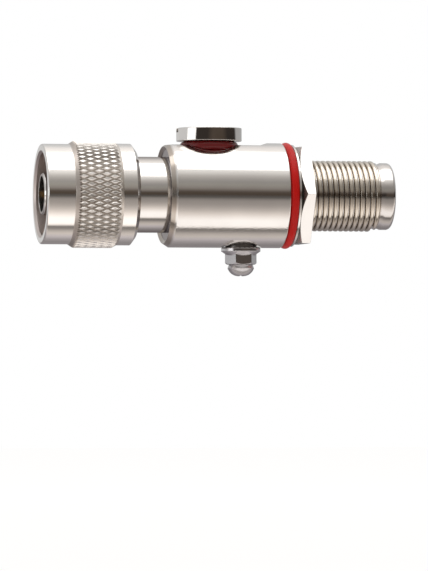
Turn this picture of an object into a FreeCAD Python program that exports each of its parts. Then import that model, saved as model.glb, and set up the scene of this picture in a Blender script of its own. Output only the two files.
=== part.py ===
# Coaxial lightning arrestor: plug with a knurled coupling nut at one end, threaded bulkhead jack
# at the other, and a gas discharge tube held against the centre conductor by a slotted screw cap.
# Millimetres. +X runs towards the jack, +Z towards the cap. The origin is on the coaxial axis, in
# the body's right shoulder, which is the face that a bulkhead panel is clamped against.
import FreeCAD, Part
import math
import os

# Coaxial line
CONDUCTOR_RADIUS = 1.52
LINE_BORE_RADIUS = 3.5
CONTACT_FLAT_HEIGHT = 1.0

# Body barrel
BODY_RADIUS = 10.35
BODY_LENGTH = 23.7
BODY_LEFT_CHAMFER_LENGTH = 1.15
BODY_LEFT_CHAMFER_HEIGHT = 0.75
BODY_RIGHT_EDGE_ROUND = 0.4
FLAT_DEPTH = 0.57
FLAT_LENGTH = 20.8
FLAT_CUTTER_RADIUS = 4.4
SOCKET_WALL = 1.45
SOCKET_DEPTH = 3.4
SOCKET_RIM_DEPTH = 0.45

# Threaded jack
THREAD_RADIUS = 7.0
THREAD_LENGTH = 19.05
THREAD_END_CHAMFER = 0.35
THREAD_START = 1.0
THREAD_PITCH = 1.0583
THREAD_DEPTH = 0.58
THREAD_CREST = 0.2
RELIEF_LENGTH = 0.95
RELIEF_DEPTH = 0.37
TIP_RADIUS = 6.62
TIP_LENGTH = 1.95
TIP_EDGE_ROUND = 0.8
JACK_BORE_RADIUS = 4.3
JACK_BORE_DEPTH = 9.6
JACK_MOUTH_CHAMFER = 0.5

# Plug adapter: lengths are counted from the body's left face or along the plug itself
NECK_RADIUS = 7.46
PLUG_SHOULDER_FROM_BODY = 15.0
SLEEVE_RADIUS = 4.15
SLEEVE_RECESS = 0.2
SLEEVE_EDGE_CHAMFER = 0.25
RING_GROOVE_FROM_SHOULDER = 5.5
RING_GROOVE_WIDTH = 1.1
RING_GROOVE_DEPTH = 0.86

# Coupling nut
NUT_LENGTH = 18.4
NUT_FROM_BODY = 6.0
NUT_FRONT_BAND_RADIUS = 9.83
NUT_FRONT_BAND_LENGTH = 5.45
NUT_FRONT_EDGE_ROUND = 0.35
NUT_REAR_BAND_RADIUS = 9.98
NUT_REAR_CHAMFER_LENGTH = 0.8
NUT_REAR_CHAMFER_HEIGHT = 1.08
NUT_MOUTH_RADIUS = 8.1
NUT_MOUTH_DEPTH = 2.4
NUT_MOUTH_CHAMFER = 0.42
RING_RADIAL_CLEARANCE = 0.25

# Diamond knurl on the coupling nut
KNURL_RADIUS = 10.5
KNURL_DEPTH = 0.3
KNURL_CROWN = 0.45
KNURL_FRONT_CHAMFER_LENGTH = 1.05
KNURL_LENGTH = 7.5
KNURL_REAR_CHAMFER_LENGTH = 0.9
KNURL_LINES_ROUND = 60
KNURL_DIAMOND_LENGTH = 3.05

# Retaining ring of the coupling nut
RING_REACH = 0.64
RING_GAP_WIDTH = 2.4

# Plug gasket, plug insulator and plug pin
GASKET_WIDTH = 1.7
GASKET_THICKNESS = 1.0
PLUG_BEAD_INSET = 1.0
PLUG_BEAD_LENGTH = 3.5
BEAD_HOLE_RADIUS = 1.1
PIN_RADIUS = 0.825
PIN_LENGTH = 6.8
PIN_BASE_LENGTH = 1.5
PIN_TAPER_LENGTH = 0.7
PIN_TAPER_RADIUS = 0.45

# Jack insulator and jack socket
JACK_BEAD_LENGTH = 3.4
SOCKET_CONTACT_LENGTH = 7.4
CONTACT_BORE_RADIUS = 0.85
CONTACT_BORE_DEPTH = 5.0
SOCKET_SLIT_WIDTH = 0.3
SOCKET_SLIT_LENGTH = 4.0

# Line bead near the middle of the barrel
LINE_BEAD_FROM_SHOULDER = 2.1
LINE_BEAD_LENGTH = 3.4

# Bulkhead seal, washer and nut
SEAL_BULGE = 0.15
SEAL_THICKNESS = 1.7
WASHER_STEP = 0.28
WASHER_THICKNESS = 0.4
BULKHEAD_NUT_FLATS = 19.0
BULKHEAD_NUT_THICKNESS = 2.65
BULKHEAD_NUT_CHAMFER_ANGLE = 30.0
BULKHEAD_NUT_FACE_INSET = 0.2

# Gas tube well and screw cap
CAP_FROM_LEFT_FACE = 9.2
CAP_HEAD_RADIUS = 6.45
CAP_HEAD_GAP = 0.25
CAP_HEAD_THICKNESS = 2.6
CAP_EDGE_ROUND = 0.14
CAP_SLOT_WIDTH = 2.0
CAP_SLOT_DEPTH = 0.85
CAP_THREAD_RADIUS = 3.95
CAP_NECK_RADIUS = 3.83
CAP_SHANK_LENGTH = 6.8
CAP_RECESS_WALL = 1.0
CAP_SEAL_SECTION = 1.91
CAP_SEAL_OUTER_RADIUS = 5.76
SPOTFACE_CLEARANCE = 0.19
WELL_WALL_CLEARANCE = 0.35
WELL_STEP_CLEARANCE = 0.2

# Gas discharge tube
GAS_TUBE_RADIUS = 2.75
GAS_TUBE_HEIGHT = 6.0
ELECTRODE_THICKNESS = 0.9
ELECTRODE_EDGE_ROUND = 0.3
ELECTRODE_RIM_STEP = 0.12
SPRING_HEIGHT = 1.1
SPRING_INSET = 0.25
SPRING_HOLE_RADIUS = 1.1
SPRING_SHEET = 0.25

# Ground terminal
GROUND_FROM_SHOULDER = 8.1
GROUND_SPOTFACE_RADIUS = 4.1
GROUND_SPOTFACE_DEPTH = 0.97
GROUND_HOLE_DEPTH = 4.8
GROUND_SCREW_RADIUS = 1.5
GROUND_SCREW_REACH = 4.4
LOCK_WASHER_RADIUS = 3.1
LOCK_WASHER_THICKNESS = 0.8
LOCK_WASHER_GAP = 0.5
GROUND_NUT_HEIGHT = 3.43
GROUND_NUT_FLATS = 5.5
GROUND_NUT_CHAMFER = 0.3
GROUND_FLANGE_RADIUS = 3.88
GROUND_FLANGE_RIM = 0.83
GROUND_FLANGE_ROUND = 0.32
GROUND_FLANGE_HEIGHT = 1.58
SERRATION_COUNT = 24
SERRATION_DEPTH = 0.2
SERRATION_WIDTH = 0.35
SERRATION_LENGTH = 1.2
SCREW_HEAD_RADIUS = 2.62
SCREW_HEAD_HEIGHT = 2.23
SCREW_HEAD_SIDE = 0.68
SCREW_HEAD_TAPER = 0.27
CROSS_DEPTH = 1.2
CROSS_SPAN = 2.5
CROSS_ARM_WIDTH = 0.7

# Clearances
THREAD_CLEARANCE = 0.04
MATING_CLEARANCE = 0.2
TURNING_CLEARANCE = 0.09
SEAT_CLEARANCE = 0.02
NUT_AXIAL_PLAY = 0.4
RING_SIDE_CLEARANCE = 0.15
SMALL_CHAMFER = 0.3
SMALL_LAND = 0.08

# Places along the axis, worked out from the sizes above
LEFT_FACE_X = -BODY_LENGTH
PLUG_SHOULDER_X = LEFT_FACE_X - PLUG_SHOULDER_FROM_BODY
RING_GROOVE_X = PLUG_SHOULDER_X + RING_GROOVE_FROM_SHOULDER
NUT_REAR_X = LEFT_FACE_X - NUT_FROM_BODY
NUT_FRONT_X = NUT_REAR_X - NUT_LENGTH
KNURL_FRONT_X = NUT_FRONT_X + NUT_FRONT_BAND_LENGTH
KNURL_FULL_X = KNURL_FRONT_X + KNURL_FRONT_CHAMFER_LENGTH
KNURL_REAR_X = KNURL_FULL_X + KNURL_LENGTH
KNURL_END_X = KNURL_REAR_X + KNURL_REAR_CHAMFER_LENGTH
PLUG_BEAD_X = PLUG_SHOULDER_X + PLUG_BEAD_INSET
PLUG_BEAD_END_X = PLUG_BEAD_X + PLUG_BEAD_LENGTH
SEAM_X = LEFT_FACE_X + SOCKET_RIM_DEPTH
RELIEF_END_X = THREAD_LENGTH + RELIEF_LENGTH
TIP_END_X = RELIEF_END_X + TIP_LENGTH
JACK_FLOOR_X = TIP_END_X - JACK_BORE_DEPTH
JACK_BEAD_X = JACK_FLOOR_X - JACK_BEAD_LENGTH
LINE_BEAD_END_X = -LINE_BEAD_FROM_SHOULDER
LINE_BEAD_X = LINE_BEAD_END_X - LINE_BEAD_LENGTH
CAP_CENTRE_X = LEFT_FACE_X + CAP_FROM_LEFT_FACE
GROUND_CENTRE_X = -GROUND_FROM_SHOULDER

# Heights and radii that follow from the sizes above
FLAT_Z = BODY_RADIUS - FLAT_DEPTH
SOCKET_RADIUS = BODY_RADIUS - SOCKET_WALL
KNURL_VALLEY_RADIUS = KNURL_RADIUS - KNURL_DEPTH
KNURL_SHARP_RADIUS = KNURL_VALLEY_RADIUS + KNURL_DEPTH / (1 - KNURL_CROWN)
RING_GROOVE_RADIUS = NECK_RADIUS - RING_GROOVE_DEPTH
RING_OUTER_RADIUS = NECK_RADIUS + RING_REACH
NUT_THREAD_RADIUS = THREAD_RADIUS + MATING_CLEARANCE
RELIEF_RADIUS = TIP_RADIUS - RELIEF_DEPTH
SEAL_OUTER_RADIUS = BODY_RADIUS + SEAL_BULGE
WASHER_OUTER_RADIUS = BODY_RADIUS - WASHER_STEP
CAP_HEAD_Z = BODY_RADIUS + CAP_HEAD_GAP
CAP_SEAL_FLOOR_Z = CAP_HEAD_Z - CAP_SEAL_SECTION - 2 * SEAT_CLEARANCE
CAP_SHANK_Z = CAP_HEAD_Z - CAP_SHANK_LENGTH
CAP_RECESS_RADIUS = CAP_THREAD_RADIUS - CAP_RECESS_WALL
SPOTFACE_RADIUS = CAP_SEAL_OUTER_RADIUS + SPOTFACE_CLEARANCE
WELL_NARROW_RADIUS = GAS_TUBE_RADIUS + WELL_WALL_CLEARANCE
CAP_HEAD_TOP_Z = CAP_HEAD_Z + CAP_HEAD_THICKNESS
WELL_STEP_Z = CAP_SHANK_Z - WELL_STEP_CLEARANCE
GAS_TUBE_TOP_Z = CONTACT_FLAT_HEIGHT + GAS_TUBE_HEIGHT
CAP_RECESS_TOP_Z = GAS_TUBE_TOP_Z + SPRING_HEIGHT
GROUND_FACE_Z = GROUND_SPOTFACE_DEPTH - BODY_RADIUS
GROUND_HOLE_END_Z = GROUND_FACE_Z + GROUND_HOLE_DEPTH
GROUND_SHANK_TOP_Z = GROUND_FACE_Z + GROUND_SCREW_REACH
GROUND_NUT_TOP_Z = GROUND_FACE_Z - LOCK_WASHER_THICKNESS - 2 * SEAT_CLEARANCE
GROUND_NUT_BOTTOM_Z = GROUND_NUT_TOP_Z - GROUND_NUT_HEIGHT

X_AXIS = FreeCAD.Vector(1, 0, 0)
Y_AXIS = FreeCAD.Vector(0, 1, 0)
Z_AXIS = FreeCAD.Vector(0, 0, 1)
ORIGIN = FreeCAD.Vector(0, 0, 0)
FULL_TURN = 360.0
QUARTER_TURN = 90.0
OVERRUN = 1.0
SAME_PLACE = 1e-4
HEXAGON_SIDES = 6
CORNER_OVER_FLAT = 2 / math.sqrt(3)

CAP_CENTRE = FreeCAD.Vector(CAP_CENTRE_X, 0, 0)
GROUND_CENTRE = FreeCAD.Vector(GROUND_CENTRE_X, 0, 0)


def turned_about_x(points):
    """Solid of revolution about the coaxial axis from (x, radius) points, closed in order."""
    corners = [FreeCAD.Vector(x, 0, radius) for x, radius in points]
    face = Part.Face(Part.makePolygon(corners + corners[:1]))
    return face.revolve(ORIGIN, X_AXIS, FULL_TURN)


def turned_about_z(points, centre):
    """Solid of revolution about a vertical axis through centre from (radius, z) points."""
    corners = [centre + FreeCAD.Vector(radius, 0, z) for radius, z in points]
    face = Part.Face(Part.makePolygon(corners + corners[:1]))
    return face.revolve(centre, Z_AXIS, FULL_TURN)


def disc_x(radius, left, right):
    return Part.makeCylinder(radius, right - left, FreeCAD.Vector(left, 0, 0), X_AXIS)


def disc_z(radius, bottom, top, centre):
    return Part.makeCylinder(radius, top - bottom, centre + FreeCAD.Vector(0, 0, bottom), Z_AXIS)


def ring_x(outer, inner, left, right):
    return disc_x(outer, left, right).cut(disc_x(inner, left - OVERRUN, right + OVERRUN))


def block(size_x, size_y, size_z, centre):
    corner = centre - FreeCAD.Vector(size_x, size_y, size_z) * 0.5
    return Part.makeBox(size_x, size_y, size_z, corner)


def hexagon_face(across_flats, position, across_axis, along_axis):
    """Hexagon with two corners on the first axis and flats square to the second."""
    corner_radius = across_flats / 2 * CORNER_OVER_FLAT
    corners = []
    for index in range(HEXAGON_SIDES):
        angle = math.radians(FULL_TURN * index / HEXAGON_SIDES)
        offset = across_axis * math.cos(angle) + along_axis * math.sin(angle)
        corners.append(position + offset * corner_radius)
    return Part.Face(Part.makePolygon(corners + corners[:1]))


def circular_edges(shape, radius, station, axis):
    """Circular edges of the given radius whose centre has the given coordinate along the axis."""
    found = []
    for edge in shape.Edges:
        curve = edge.Curve
        if not isinstance(curve, Part.Circle):
            continue
        if abs(curve.Radius - radius) > SAME_PLACE:
            continue
        if abs(curve.Center.dot(axis) - station) < SAME_PLACE:
            found.append(edge)
    return found


def make_flat_cut():
    """Room that the milling cutter sweeps: it enters at the left and stops at a round end."""
    flat_end = LEFT_FACE_X + FLAT_LENGTH
    centre = FreeCAD.Vector(flat_end - FLAT_CUTTER_RADIUS, 0, 0)
    swept = Part.makeBox(
        FLAT_LENGTH - FLAT_CUTTER_RADIUS + OVERRUN, 2 * FLAT_CUTTER_RADIUS, BODY_RADIUS,
        FreeCAD.Vector(LEFT_FACE_X - OVERRUN, -FLAT_CUTTER_RADIUS, FLAT_Z))
    return swept.fuse(disc_z(FLAT_CUTTER_RADIUS, FLAT_Z, FLAT_Z + BODY_RADIUS, centre))


def thread_profile():
    """Ring grooves at the thread's pitch, from the run-out at the shoulder to the end chamfer."""
    thread_end = THREAD_LENGTH - THREAD_END_CHAMFER
    count = math.floor((thread_end - THREAD_START) / THREAD_PITCH)
    profile = []
    for index in range(count):
        left = thread_end - (count - index) * THREAD_PITCH
        groove_x = left + (THREAD_PITCH + THREAD_CREST) / 2
        profile.append((left + THREAD_CREST, THREAD_RADIUS))
        profile.append((groove_x, THREAD_RADIUS - THREAD_DEPTH))
        profile.append((left + THREAD_PITCH, THREAD_RADIUS))
    return profile


def make_body_barrel():
    """Barrel and threaded jack, turned from one bar, then milled, spotfaced and drilled."""
    body = turned_about_x([
        (LEFT_FACE_X, 0),
        (LEFT_FACE_X, BODY_RADIUS - BODY_LEFT_CHAMFER_HEIGHT),
        (LEFT_FACE_X + BODY_LEFT_CHAMFER_LENGTH, BODY_RADIUS),
        (0, BODY_RADIUS),
        (0, THREAD_RADIUS),
        *thread_profile(),
        (THREAD_LENGTH, RELIEF_RADIUS),
        (RELIEF_END_X, TIP_RADIUS),
        (TIP_END_X, TIP_RADIUS),
        (TIP_END_X, 0)])
    body = body.makeFillet(BODY_RIGHT_EDGE_ROUND, circular_edges(body, BODY_RADIUS, 0, X_AXIS))
    body = body.makeFillet(TIP_EDGE_ROUND, circular_edges(body, TIP_RADIUS, TIP_END_X, X_AXIS))
    mouth = turned_about_x([
        (TIP_END_X - JACK_MOUTH_CHAMFER, 0),
        (TIP_END_X - JACK_MOUTH_CHAMFER, JACK_BORE_RADIUS),
        (TIP_END_X, JACK_BORE_RADIUS + JACK_MOUTH_CHAMFER),
        (TIP_END_X, 0)])
    socket = turned_about_x([
        (LEFT_FACE_X, 0),
        (LEFT_FACE_X, BODY_RADIUS - BODY_LEFT_CHAMFER_HEIGHT - SMALL_LAND),
        (SEAM_X, SOCKET_RADIUS),
        (LEFT_FACE_X + SOCKET_DEPTH, SOCKET_RADIUS),
        (LEFT_FACE_X + SOCKET_DEPTH, 0)])
    tapped_radius = GROUND_SCREW_RADIUS + THREAD_CLEARANCE
    cuts = [
        make_flat_cut(),
        mouth,
        socket,
        disc_x(LINE_BORE_RADIUS, LEFT_FACE_X - OVERRUN, TIP_END_X + OVERRUN),
        disc_x(JACK_BORE_RADIUS, JACK_BEAD_X, TIP_END_X + OVERRUN),
        disc_z(SPOTFACE_RADIUS, CAP_SEAL_FLOOR_Z, BODY_RADIUS + OVERRUN, CAP_CENTRE),
        disc_z(CAP_THREAD_RADIUS + THREAD_CLEARANCE, WELL_STEP_Z, BODY_RADIUS, CAP_CENTRE),
        disc_z(WELL_NARROW_RADIUS, 0, BODY_RADIUS, CAP_CENTRE),
        disc_z(GROUND_SPOTFACE_RADIUS, -BODY_RADIUS - OVERRUN, GROUND_FACE_Z, GROUND_CENTRE),
        disc_z(tapped_radius, -BODY_RADIUS, GROUND_HOLE_END_Z, GROUND_CENTRE),
    ]
    for tool in cuts:
        body = body.cut(tool)
    return body


def make_plug_adapter():
    """Neck, pressed-in disc and outer contact sleeve of the plug, one turned piece."""
    disc_end = LEFT_FACE_X + SOCKET_DEPTH
    sleeve_tip = NUT_FRONT_X + SLEEVE_RECESS
    groove_end = RING_GROOVE_X + RING_GROOVE_WIDTH
    adapter = turned_about_x([
        (sleeve_tip, 0),
        (sleeve_tip, SLEEVE_RADIUS - SLEEVE_EDGE_CHAMFER),
        (sleeve_tip + SLEEVE_EDGE_CHAMFER, SLEEVE_RADIUS),
        (PLUG_SHOULDER_X, SLEEVE_RADIUS),
        (PLUG_SHOULDER_X, NECK_RADIUS - SMALL_CHAMFER),
        (PLUG_SHOULDER_X + SMALL_CHAMFER, NECK_RADIUS),
        (RING_GROOVE_X, NECK_RADIUS),
        (RING_GROOVE_X, RING_GROOVE_RADIUS),
        (groove_end, RING_GROOVE_RADIUS),
        (groove_end, NECK_RADIUS),
        (SEAM_X, NECK_RADIUS),
        (SEAM_X, SOCKET_RADIUS),
        (disc_end, SOCKET_RADIUS),
        (disc_end, 0)])
    return adapter.cut(disc_x(LINE_BORE_RADIUS, sleeve_tip - OVERRUN, disc_end + OVERRUN))


def knurl_point(column, row, radius):
    """Lattice point of the knurl: columns run round in half pitches, rows run along the axis."""
    angle = math.pi * column / KNURL_LINES_ROUND
    x = KNURL_FRONT_X + (row - 1) * KNURL_DIAMOND_LENGTH / 2
    return FreeCAD.Vector(x, radius * math.cos(angle), radius * math.sin(angle))


def knurl_rows():
    """Whole diamonds that cover the knurled length, with half a diamond over at each end."""
    covered = KNURL_END_X - KNURL_FRONT_X + KNURL_DIAMOND_LENGTH
    return 2 * math.ceil(covered / KNURL_DIAMOND_LENGTH)


def knurl_is_peak(column, row):
    return (column + row) % 2 == 0


def knurl_radius_at(column, row):
    """Sharp peaks and groove crossings take turns, round the nut and along it."""
    return KNURL_SHARP_RADIUS if knurl_is_peak(column, row) else KNURL_VALLEY_RADIUS


def knurl_corner(column, row):
    return knurl_point(column, row, knurl_radius_at(column, row))


def knurl_diamond(column, row):
    """Faces of one diamond: four slopes and a crown of two triangles where the peak is cut off."""
    peak = knurl_corner(column, row)
    foot = [knurl_corner(column - 1, row), knurl_corner(column, row - 1),
            knurl_corner(column + 1, row), knurl_corner(column, row + 1)]
    crown = [peak + (corner - peak) * KNURL_CROWN for corner in foot]
    outlines = [[crown[0], crown[1], crown[2]], [crown[0], crown[2], crown[3]]]
    for here in range(len(foot)):
        after = (here + 1) % len(foot)
        outlines.append([foot[here], foot[after], crown[after], crown[here]])
    return outlines


def knurl_end_diamond(column, row, step):
    """Half diamond that closes the rim at an end row; step points to the row inside."""
    peak = knurl_corner(column, row)
    inside = knurl_corner(column, row + step)
    return [[peak, knurl_corner(column - 1, row), inside],
            [peak, inside, knurl_corner(column + 1, row)]]


def make_knurl_band():
    """Faceted ring of diamonds, closed by flat ends, then turned down to the chamfers."""
    rows = knurl_rows()
    columns = 2 * KNURL_LINES_ROUND
    outlines = []
    for row in range(rows + 1):
        for column in range(columns):
            if not knurl_is_peak(column, row):
                continue
            if row == 0:
                outlines += knurl_end_diamond(column, row, 1)
            elif row == rows:
                outlines += knurl_end_diamond(column, row, -1)
            else:
                outlines += knurl_diamond(column, row)
    for row in (0, rows):
        outlines.append([knurl_corner(column, row) for column in range(columns)])
    faces = [Part.Face(Part.makePolygon([*corners, corners[0]])) for corners in outlines]
    band = Part.makeSolid(Part.makeShell(faces))
    if band.Volume < 0:
        band.reverse()
    envelope = turned_about_x([
        (KNURL_FRONT_X, 0),
        (KNURL_FRONT_X, NUT_FRONT_BAND_RADIUS + SEAT_CLEARANCE),
        (KNURL_FULL_X, KNURL_RADIUS + SEAT_CLEARANCE),
        (KNURL_REAR_X, KNURL_RADIUS + SEAT_CLEARANCE),
        (KNURL_END_X, NUT_REAR_BAND_RADIUS + SEAT_CLEARANCE),
        (KNURL_END_X, 0)])
    return band.common(envelope)


def make_coupling_nut():
    """Knurled union nut: smooth bands, diamond knurl, threaded front bore and ring groove."""
    core = turned_about_x([
        (NUT_FRONT_X, 0),
        (NUT_FRONT_X, NUT_FRONT_BAND_RADIUS),
        (KNURL_END_X, NUT_FRONT_BAND_RADIUS),
        (KNURL_END_X, NUT_REAR_BAND_RADIUS),
        (NUT_REAR_X - NUT_REAR_CHAMFER_LENGTH, NUT_REAR_BAND_RADIUS),
        (NUT_REAR_X, NUT_REAR_BAND_RADIUS - NUT_REAR_CHAMFER_HEIGHT),
        (NUT_REAR_X, 0)])
    front_edge = circular_edges(core, NUT_FRONT_BAND_RADIUS, NUT_FRONT_X, X_AXIS)
    core = core.makeFillet(NUT_FRONT_EDGE_ROUND, front_edge)
    nut = core.fuse(make_knurl_band())
    running_radius = NECK_RADIUS + TURNING_CLEARANCE
    groove_radius = RING_OUTER_RADIUS + RING_RADIAL_CLEARANCE
    groove_left = RING_GROOVE_X - RING_SIDE_CLEARANCE
    groove_right = RING_GROOVE_X + RING_GROOVE_WIDTH + RING_SIDE_CLEARANCE
    bore = turned_about_x([
        (NUT_FRONT_X, 0),
        (NUT_FRONT_X, NUT_MOUTH_RADIUS + NUT_MOUTH_CHAMFER),
        (NUT_FRONT_X + NUT_MOUTH_CHAMFER, NUT_MOUTH_RADIUS),
        (NUT_FRONT_X + NUT_MOUTH_DEPTH, NUT_MOUTH_RADIUS),
        (NUT_FRONT_X + NUT_MOUTH_DEPTH + SMALL_CHAMFER, NUT_THREAD_RADIUS),
        (PLUG_SHOULDER_X - NUT_AXIAL_PLAY, NUT_THREAD_RADIUS),
        (PLUG_SHOULDER_X - NUT_AXIAL_PLAY, running_radius),
        (groove_left, running_radius),
        (groove_left, groove_radius),
        (groove_right, groove_radius),
        (groove_right, running_radius),
        (NUT_REAR_X, running_radius),
        (NUT_REAR_X, 0)])
    return nut.cut(bore)


def make_snap_ring():
    """Split retaining ring, seated in the neck's groove and reaching into the nut's groove."""
    left = RING_GROOVE_X + SEAT_CLEARANCE
    right = RING_GROOVE_X + RING_GROOVE_WIDTH - SEAT_CLEARANCE
    ring = ring_x(RING_OUTER_RADIUS, RING_GROOVE_RADIUS + SEAT_CLEARANCE, left, right)
    gap = block(RING_GROOVE_WIDTH * 2, RING_GAP_WIDTH, RING_OUTER_RADIUS,
                FreeCAD.Vector((left + right) / 2, 0, -RING_OUTER_RADIUS))
    return ring.cut(gap)


def make_plug_gasket():
    inner = SLEEVE_RADIUS + SEAT_CLEARANCE
    return ring_x(inner + GASKET_WIDTH, inner, PLUG_SHOULDER_X - GASKET_THICKNESS, PLUG_SHOULDER_X)


def make_bead(outer, left, right):
    """Insulating bead pressed over the line's neck."""
    return ring_x(outer - SEAT_CLEARANCE, BEAD_HOLE_RADIUS + SEAT_CLEARANCE, left, right)


def make_plug_pin():
    """Gold pin with a tapered tip, shouldered on both faces of its insulator."""
    base_x = PLUG_BEAD_X - PIN_BASE_LENGTH
    tip_x = PLUG_BEAD_X - PIN_LENGTH
    return turned_about_x([
        (tip_x, 0),
        (tip_x, PIN_TAPER_RADIUS),
        (tip_x + PIN_TAPER_LENGTH, PIN_RADIUS),
        (base_x, PIN_RADIUS),
        (base_x, CONDUCTOR_RADIUS),
        (PLUG_BEAD_X, CONDUCTOR_RADIUS),
        (PLUG_BEAD_X, BEAD_HOLE_RADIUS),
        (PLUG_BEAD_END_X, BEAD_HOLE_RADIUS),
        (PLUG_BEAD_END_X, 0)])


def make_centre_conductor():
    """Rod from the plug's pin to the jack's socket, necked for the bead, flat under the tube."""
    rod = turned_about_x([
        (PLUG_BEAD_END_X, 0),
        (PLUG_BEAD_END_X, CONDUCTOR_RADIUS),
        (LINE_BEAD_X, CONDUCTOR_RADIUS),
        (LINE_BEAD_X, BEAD_HOLE_RADIUS),
        (LINE_BEAD_END_X, BEAD_HOLE_RADIUS),
        (LINE_BEAD_END_X, CONDUCTOR_RADIUS),
        (JACK_BEAD_X, CONDUCTOR_RADIUS),
        (JACK_BEAD_X, 0)])
    seat = block(2 * GAS_TUBE_RADIUS + OVERRUN, 2 * CONDUCTOR_RADIUS, CONDUCTOR_RADIUS,
                 FreeCAD.Vector(CAP_CENTRE_X, 0, CONTACT_FLAT_HEIGHT + CONDUCTOR_RADIUS / 2))
    return rod.cut(seat)


def make_jack_socket():
    """Gold socket contact with four spring fingers, necked where its insulator holds it."""
    contact_end = JACK_FLOOR_X + SOCKET_CONTACT_LENGTH
    socket = turned_about_x([
        (JACK_BEAD_X, 0),
        (JACK_BEAD_X, BEAD_HOLE_RADIUS),
        (JACK_FLOOR_X, BEAD_HOLE_RADIUS),
        (JACK_FLOOR_X, CONDUCTOR_RADIUS),
        (contact_end, CONDUCTOR_RADIUS),
        (contact_end, 0)])
    bore_left = contact_end - CONTACT_BORE_DEPTH
    socket = socket.cut(disc_x(CONTACT_BORE_RADIUS, bore_left, contact_end + OVERRUN))
    middle = FreeCAD.Vector(contact_end, 0, 0)
    across = 2 * CONDUCTOR_RADIUS + OVERRUN
    for size_y, size_z in ((SOCKET_SLIT_WIDTH, across), (across, SOCKET_SLIT_WIDTH)):
        socket = socket.cut(block(2 * SOCKET_SLIT_LENGTH, size_y, size_z, middle))
    return socket


def make_bulkhead_seal():
    """Rubber ring squeezed flat against the shoulder, so its edges are full half rounds."""
    inner = THREAD_RADIUS + TURNING_CLEARANCE
    half = SEAL_THICKNESS / 2
    start_in = FreeCAD.Vector(0, 0, inner + half)
    start_out = FreeCAD.Vector(0, 0, SEAL_OUTER_RADIUS - half)
    end_out = start_out + X_AXIS * SEAL_THICKNESS
    end_in = start_in + X_AXIS * SEAL_THICKNESS
    crest = FreeCAD.Vector(half, 0, SEAL_OUTER_RADIUS)
    root = FreeCAD.Vector(half, 0, inner)
    edges = [
        Part.makeLine(start_in, start_out),
        Part.Arc(start_out, crest, end_out).toShape(),
        Part.makeLine(end_out, end_in),
        Part.Arc(end_in, root, start_in).toShape(),
    ]
    return Part.Face(Part.Wire(edges)).revolve(ORIGIN, X_AXIS, FULL_TURN)


def make_bulkhead_washer():
    left = SEAL_THICKNESS
    return ring_x(WASHER_OUTER_RADIUS, THREAD_RADIUS + TURNING_CLEARANCE, left, left + WASHER_THICKNESS)


def make_bulkhead_nut():
    """Hexagon nut with a corner to the front, chamfered on the side next to its washer."""
    left = SEAL_THICKNESS + WASHER_THICKNESS
    face = hexagon_face(BULKHEAD_NUT_FLATS, FreeCAD.Vector(left, 0, 0), Y_AXIS, Z_AXIS)
    nut = face.extrude(X_AXIS * BULKHEAD_NUT_THICKNESS)
    reach = BULKHEAD_NUT_THICKNESS / math.tan(math.radians(BULKHEAD_NUT_CHAMFER_ANGLE))
    right = left + BULKHEAD_NUT_THICKNESS
    face_radius = BULKHEAD_NUT_FLATS / 2 - BULKHEAD_NUT_FACE_INSET
    envelope = turned_about_x([
        (left, 0),
        (left, face_radius),
        (right, face_radius + reach),
        (right, 0)])
    bore_radius = THREAD_RADIUS + THREAD_CLEARANCE
    bore = turned_about_x([
        (left - OVERRUN, 0),
        (left - OVERRUN, bore_radius + SMALL_CHAMFER),
        (left, bore_radius + SMALL_CHAMFER),
        (left + SMALL_CHAMFER, bore_radius),
        (right - SMALL_CHAMFER, bore_radius),
        (right, bore_radius + SMALL_CHAMFER),
        (right + OVERRUN, bore_radius + SMALL_CHAMFER),
        (right + OVERRUN, 0)])
    return nut.common(envelope).cut(bore)


def make_gas_tube_cap():
    """Coin-slotted screw cap, hollow below so that it presses the gas tube through a spring."""
    cap = turned_about_z([
        (0, CAP_SHANK_Z),
        (CAP_THREAD_RADIUS - SMALL_CHAMFER, CAP_SHANK_Z),
        (CAP_THREAD_RADIUS, CAP_SHANK_Z + SMALL_CHAMFER),
        (CAP_THREAD_RADIUS, CAP_SEAL_FLOOR_Z),
        (CAP_NECK_RADIUS, CAP_SEAL_FLOOR_Z),
        (CAP_NECK_RADIUS, CAP_HEAD_Z),
        (CAP_HEAD_RADIUS, CAP_HEAD_Z),
        (CAP_HEAD_RADIUS, CAP_HEAD_TOP_Z),
        (0, CAP_HEAD_TOP_Z)], CAP_CENTRE)
    edges = circular_edges(cap, CAP_HEAD_RADIUS, CAP_HEAD_TOP_Z, Z_AXIS)
    edges += circular_edges(cap, CAP_HEAD_RADIUS, CAP_HEAD_Z, Z_AXIS)
    cap = cap.makeFillet(CAP_EDGE_ROUND, edges)
    recess = disc_z(CAP_RECESS_RADIUS, CAP_SHANK_Z - OVERRUN, CAP_RECESS_TOP_Z, CAP_CENTRE)
    slot = block(2 * CAP_HEAD_RADIUS + OVERRUN, CAP_SLOT_WIDTH, 2 * CAP_SLOT_DEPTH,
                 FreeCAD.Vector(CAP_CENTRE_X, 0, CAP_HEAD_TOP_Z))
    return cap.cut(recess).cut(slot)


def make_cap_oring():
    """Round-section ring between the floor of the spotface and the cap's head."""
    section = CAP_SEAL_SECTION / 2
    centre = CAP_CENTRE + FreeCAD.Vector(0, 0, CAP_HEAD_Z - SEAT_CLEARANCE - section)
    return Part.makeTorus(CAP_SEAL_OUTER_RADIUS - section, section, centre, Z_AXIS)


def make_gas_tube_ceramic():
    bottom = CONTACT_FLAT_HEIGHT + ELECTRODE_THICKNESS
    top = GAS_TUBE_TOP_Z - ELECTRODE_THICKNESS
    return disc_z(GAS_TUBE_RADIUS - ELECTRODE_RIM_STEP, bottom, top, CAP_CENTRE)


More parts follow.
